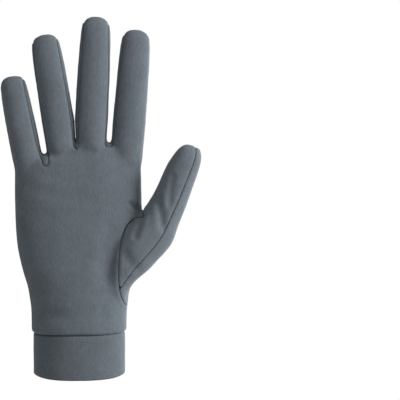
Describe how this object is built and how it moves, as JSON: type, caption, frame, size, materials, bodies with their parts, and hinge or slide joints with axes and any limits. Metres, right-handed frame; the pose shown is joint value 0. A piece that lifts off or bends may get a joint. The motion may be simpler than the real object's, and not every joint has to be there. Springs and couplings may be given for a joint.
{
  "type": "glove liner",
  "caption": "Thin knitted glove liner for the right hand, kept in its worn form, with set-in thumb, finger side strips and a folded wrist band.",
  "frame": {"origin": "middle of the wrist opening, level with the lower edge of the cuff band", "axes": "+Z from the wrist up the fingers, -Y out of the palm, +X towards the thumb side"},
  "size_m": [0.1317, 0.043, 0.2378],
  "materials": {
    "hand_knit": "fine brushed knit, matt, slate grey",
    "strip_knit": "fine brushed knit, matt, slate grey",
    "thumb_knit": "fine brushed knit, matt, slate grey",
    "cuff_knit": "fine ribless knit, folded double, matt, slate grey"
  },
  "bodies": {
    "root": {"palm_panel": "hand_knit", "back_panel": "hand_knit", "fourchette_ring_little": "strip_knit", "fourchette_middle_ring": "strip_knit", "fourchette_index_middle": "strip_knit", "thumb_inner": "thumb_knit", "thumb_outer": "thumb_knit", "cuff_band": "cuff_knit"}
  },
  "joints": []
}
